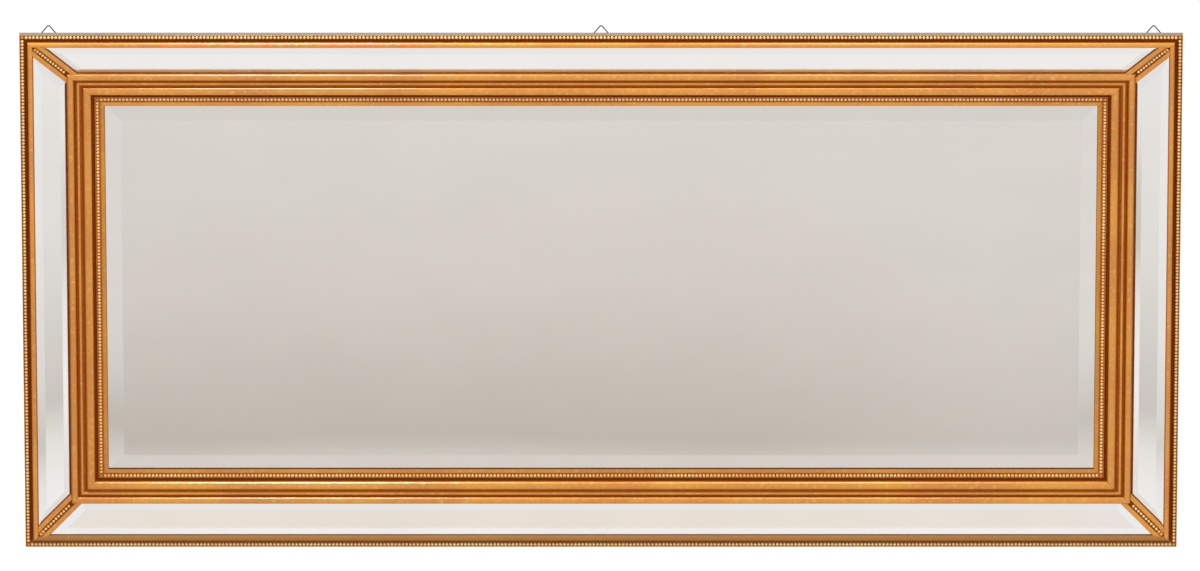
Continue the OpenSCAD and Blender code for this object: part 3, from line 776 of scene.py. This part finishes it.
def corner_bar(name, k, material, rng):
    """A bar over the mitre of two margin strips, coped to the half-rounds at both ends."""
    half = bar_section()
    section = half + [(-a, h, dark) for a, h, dark in reversed(half)]
    # The groove of the pearls is closed at both ends
    tops = [max(h, BAR_STOP_H) if abs(a) < BAR_STOP_W else h for a, h, dark in section]
    ends = [(bar_end(a, top, True), bar_end(a, top, False)) for (a, h, dark), top in zip(section, tops)]
    place = corner_matrix(k) @ valley_matrix(0)
    joint = MITRE_W / (ends[0][1] - ends[0][0])
    turns = [0, joint] + [n / BAR_STATIONS for n in range(1, BAR_STATIONS)] + [1 - joint, 1]
    sway = hand_wave(rng, BAR_SWAY)
    rings, hollow = [], []
    for t in turns:
        ring = []
        for (a, h, dark), top, (x0, x1) in zip(section, tops, ends):
            if t in (0, 1):
                h, dark = top, max(dark, BAR_SEAM_DARK)
            lift = sway(t * BAR_SWAY_RATE) if h > BAR_SEAT_H else 0
            ring.append(place @ Vector((x0 + (x1 - x0) * t, a, h + lift)))
            hollow.append(dark)
        rings.append(ring)
    points = [p for ring in rings for p in ring]
    return make_piece(name, points, loft(rings), [material], marks={"hollow": hollow})


# Finishes of the mirror
gilding = gilt("gilt", LEAF_GOLD, LEAF_PALE, LEAF_DEEP)
# The pearls' paler gilding is painted highlight
pearl_gilding_painted_highlight = gilt("gilt_pearls_painted_highlight", PEARL_GOLD, PEARL_PALE, PEARL_DEEP)
strip_silver = silvered("silvered_strips", (0.92, 0.94, 0.96), 0.035)
plate_silver = silvered("silvered_plate", (0.80, 0.795, 0.785), 0.03)
plate_edge = glass_edge()
back_paint = backing_paint()
pine_x, pine_z = (wood("pine_" + way, srgb(196, 158, 108), srgb(158, 118, 72), way == "along")
                  for way in ("along", "upright"))
bed_x, bed_z = (wood("bed_" + way, srgb(176, 136, 92), srgb(132, 96, 58), way == "along")
                for way in ("along", "upright"))
board_brown = hardboard()
dark_wire = steel("dark_wire", srgb(16, 15, 15), srgb(8, 7, 7), 0.6, 0.0)
strap_brass = steel("strap_brass", srgb(176, 148, 92), srgb(112, 90, 56), 0.38)
screw_zinc = steel("screw_zinc", srgb(190, 184, 160), srgb(140, 132, 108), 0.34)
nail_steel = steel("nail_steel", srgb(150, 150, 150), srgb(96, 92, 88), 0.4)

# Frame, glass and pearls
rng = random.Random(31)
for i, side in enumerate(SIDES):
    place = side_matrix(i) @ Matrix.Translation((0, OUTER_BEAD_U, OUTER_SEAT_H))
    # Painted shade: the whole bottom outer moulding is dulled brown
    dull = 1.0 if i == BOTTOM else 0.0
    outer = moulding("outer_moulding_" + side, outer_section(i), i, gilding, rng, place, dull)
    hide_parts("outer_rail_" + side)
    count = pearl_count(side_span(i), OUTER_BEAD_U)
    pearls = pearl_row("outer_pearls_" + side, place, count, pearl_gilding_painted_highlight, rng)
    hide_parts("outer_beads_" + side)
    lean = Matrix.Rotation(-SEAT_LEAN, 4, "X")
    place = side_matrix(i) @ Matrix.Translation((0, INNER_BEAD_U, INNER_SEAT_H - SEAT_FALL / 2)) @ lean
    inner = moulding("inner_moulding_" + side, inner_section(i), i, gilding, rng, place)
    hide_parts("inner_rail_" + side)
    count = pearl_count(side_span(i), INNER_BEAD_U)
    pearls = pearl_row("inner_pearls_" + side, place, count, pearl_gilding_painted_highlight, rng)
    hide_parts("inner_beads_" + side)

    run = (INNER_GLASS_U - OUTER_GLASS_U) / math.cos(MARGIN_ANGLE)
    end_gap = (BAR_W / 2 - GLASS_TUCK) * math.sqrt(2)
    x0 = side_span(i) / 2 - OUTER_GLASS_U - end_gap
    x1 = side_span(i) / 2 - INNER_GLASS_U - end_gap
    tilt = Matrix.Rotation(-MARGIN_ANGLE, 4, "X")
    place = side_matrix(i) @ Matrix.Translation((0, OUTER_GLASS_U, bed_h(OUTER_GLASS_U))) @ tilt
    strip = bevelled_plate("margin_strip_" + side, place, [(-x0, 0), (x0, 0), (x1, run), (-x1, run)],
                           MARGIN_T, MARGIN_BEVEL, STRIP_EDGE_T, [strip_silver, plate_edge, back_paint])
    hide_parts("margin_glass_" + side)

for k, corner in enumerate(CORNERS):
    bar = corner_bar("mitre_bar_" + corner, k, gilding, rng)
    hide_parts("corner_bar_" + corner)
    run = (INNER_EDGE_U - SIGHT_U) * math.sqrt(2) / math.cos(BAR_FALL) - 2 * BEAD_R
    place = corner_matrix(k) @ valley_matrix((SIGHT_U + INNER_EDGE_U) / 2)
    place = place @ Matrix.Translation(((BEAD_R - BEAD_PITCH) / 2, 0, BAR_SEAT_H))
    pearls = pearl_row("mitre_pearls_" + corner, place, math.ceil(run / BEAD_PITCH), pearl_gilding_painted_highlight, rng)
    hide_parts("corner_beads_" + corner)

half_x, half_z = HALF_W - PLATE_EDGE_U, HALF_H - PLATE_EDGE_U
place = Matrix.Translation((0, -BACK_H, 0)) @ Matrix.Rotation(math.radians(90), 4, "X")
outline = [(-half_x, -half_z), (half_x, -half_z), (half_x, half_z), (-half_x, half_z)]
plate = bevelled_plate("main_plate", place, outline, PLATE_T, PLATE_BEVEL, GLASS_EDGE_T,
                       [plate_silver, plate_edge, back_paint])
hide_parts("main_mirror")


# Parts of the back and hangers, which keep their construction shapes
def dress(node, material, rounding=0.0):
    """Gives a construction piece one material, and eased edges where rounding is given."""
    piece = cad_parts[node]
    piece.data.materials.clear()
    piece.data.materials.append(material)
    piece.data.polygons.foreach_set("material_index", [0] * len(piece.data.polygons))
    if rounding:
        edges = piece.modifiers.new("eased_edges", "BEVEL")
        edges.width = rounding
        edges.segments = 2
        edges.limit_method = "ANGLE"
        edges.angle_limit = math.radians(40)
        edges.harden_normals = True


for i, side in enumerate(SIDES):
    dress("carcass_batten_" + side, pine_x if is_level(i) else pine_z, 0.4 * MM)
    dress("margin_bed_" + side, bed_x if is_level(i) else bed_z)
for hanger in HANGERS:
    dress("hanger_strap_" + hanger, strap_brass)
    dress("hanger_loop_" + hanger, dark_wire)
dress("back_board", board_brown)
dress("back_brace", pine_z, 0.5 * MM)
dress("frame_screws", screw_zinc)
dress("strap_screws", screw_zinc)
dress("board_pins", nail_steel)
dress("mitre_nails", nail_steel)


# Floor, light and camera
FLOOR_Z = -0.9
FLOOR_SIZE = 60
FLOOR_REACH = 10.0
WHITE = (1.0, 1.0, 1.0)

# Painted shade and light that the mirror shows of the floor, by the distance in metres in front of the
# mirror:
# grey near it, a painted shadow band at about 1.25 m, white farther off and warm far away
FLOOR_TONES = ((0.6, (0.74, 0.72, 0.695)), (0.8, (0.78, 0.765, 0.745)), (0.93, (0.88, 0.875, 0.87)),
               (1.0, (0.87, 0.865, 0.855)), (1.14, (0.80, 0.785, 0.76)), (1.25, (0.605, 0.58, 0.545)),
               (1.7, (0.79, 0.765, 0.735)), (2.3, (0.92, 0.9, 0.88)), (3.4, (1.0, 0.99, 0.975)),
               (9.0, (1.0, 0.93, 0.85)))

# Tones of the studio's walls and ceiling, by the height looked at
WORLD_TONES = ((0.0, (0.99, 0.98, 0.96)), (0.3, (0.88, 0.86, 0.835)), (0.8, (0.76, 0.755, 0.75)))

LAMP_DEPTH = 1.0

# Name, place, place aimed at, width, watts and colour of each softbox
LAMPS = (("softbox_left", (-0.45, -0.3, 2.2), (-0.45, -0.1, 0), 0.36, 21, WHITE),
         ("softbox_right", (0.37, -0.3, 2.2), (0.37, -0.1, 0), 0.36, 11, (1.0, 0.78, 0.46)))

CAMERA_ELEVATION = math.radians(27.85)
CAMERA_LENS = 720
SENSOR_W = 36
PHOTO_W_PX = 1200
PIXEL = 1.3827 * MM
AIM_ACROSS_PX = -1.1
AIM_UP_PX = 2.4


def floor_finish():
    """Matt pale floor, white to the camera. In the mirror it shows painted shade and light."""
    finish = Finish("studio_floor", (0.8, 0.8, 0.8), roughness=0.9)
    to_camera = finish.node("ShaderNodeLightPath", output="Is Camera Ray")
    place = finish.place()
    depth = finish.node("ShaderNodeSeparateXYZ", None, (place,), output="Y")
    across = finish.node("ShaderNodeSeparateXYZ", None, (place,), output="X")
    along = depth * (-1 / FLOOR_REACH) + (finish.noise(0.9, detail=2.0) - 0.5) * 0.012
    stops = [(distance / FLOOR_REACH, tone) for distance, tone in FLOOR_TONES]
    tones = finish.node("ShaderNodeValToRGB", {"stops": stops}, (along,))
    # Painted light: paler in front of both side strips, and a little paler toward the right
    painted_paler = finish.ramp(across.math("ABSOLUTE"), 0.72, 0.95, (0.0, 0.42)) * finish.ramp(along, 0.12, 0.15)
    painted_paler = painted_paler + finish.ramp(across, 0.1, 0.7, (0.0, 0.22))
    tones = finish.mix(painted_paler, tones, WHITE)
    # A faint warm painted glow far off, which the bottom strip shows
    glow = finish.mix(finish.ramp(along, 0.5, 0.9), (0.015, 0.015, 0.015), (0.09, 0.05, 0.015))
    finish.surface("Base Color", finish.mix(to_camera, tones, (0.8, 0.8, 0.8)))
    finish.surface("Emission Color", finish.mix(to_camera, glow, (0.35, 0.35, 0.35)))
    finish.surface("Emission Strength", 1.0)
    finish.surface("Specular IOR Level", 0.0)
    return finish.material


def make_floor():
    bpy.ops.mesh.primitive_plane_add(size=FLOOR_SIZE, location=(0, 0, FLOOR_Z))
    floor = bpy.context.object
    floor.name = "studio_floor"
    floor.data.materials.append(floor_finish())


def make_lamp(name, place, target, width, power, color):
    lamp = bpy.data.lights.new(name, "AREA")
    lamp.shape = "RECTANGLE"
    lamp.size, lamp.size_y = width, LAMP_DEPTH
    lamp.energy = power
    lamp.color = color
    holder = bpy.data.objects.new(name, lamp)
    bpy.context.scene.collection.objects.link(holder)
    holder.location = place
    holder.rotation_euler = (Vector(target) - Vector(place)).to_track_quat("-Z", "Y").to_euler()


def make_world():
    """Pale studio round the mirror: its tones by height, and white to the camera."""
    world = bpy.data.worlds.new("studio")
    bpy.context.scene.world = world
    studio = Nodes(world)
    way = studio.node("ShaderNodeTexCoord", output="Generated")
    height = studio.node("ShaderNodeSeparateXYZ", None, (way,), output="Z")
    tones = studio.node("ShaderNodeValToRGB", {"stops": WORLD_TONES}, (height,))
    to_camera = studio.node("ShaderNodeLightPath", output="Is Camera Ray")
    background = studio.nodes["Background"]
    studio.plug(studio.mix(to_camera, tones, WHITE), background.inputs["Color"])
    studio.plug(1.0, background.inputs["Strength"])


def make_camera():
    """A far camera above the front, at the photo's angle and framing."""
    data = bpy.data.cameras.new("camera")
    data.lens = CAMERA_LENS
    data.sensor_width = SENSOR_W
    data.clip_start = 1
    data.clip_end = 200
    camera = bpy.data.objects.new("camera", data)
    bpy.context.scene.collection.objects.link(camera)
    away = Vector((0, -math.cos(CAMERA_ELEVATION), math.sin(CAMERA_ELEVATION)))
    upward = Vector((0, math.sin(CAMERA_ELEVATION), math.cos(CAMERA_ELEVATION)))
    middle = (cad_low + cad_high) / 2
    aim = middle + Vector((AIM_ACROSS_PX * PIXEL, 0, 0)) + upward * AIM_UP_PX * PIXEL
    camera.location = aim + away * PHOTO_W_PX * PIXEL * CAMERA_LENS / SENSOR_W
    camera.rotation_euler = (-away).to_track_quat("-Z", "Y").to_euler()
    bpy.context.scene.camera = camera


make_floor()
make_world()
for lamp in LAMPS:
    make_lamp(*lamp)
make_camera()
bpy.context.scene.view_settings.view_transform = "Standard"
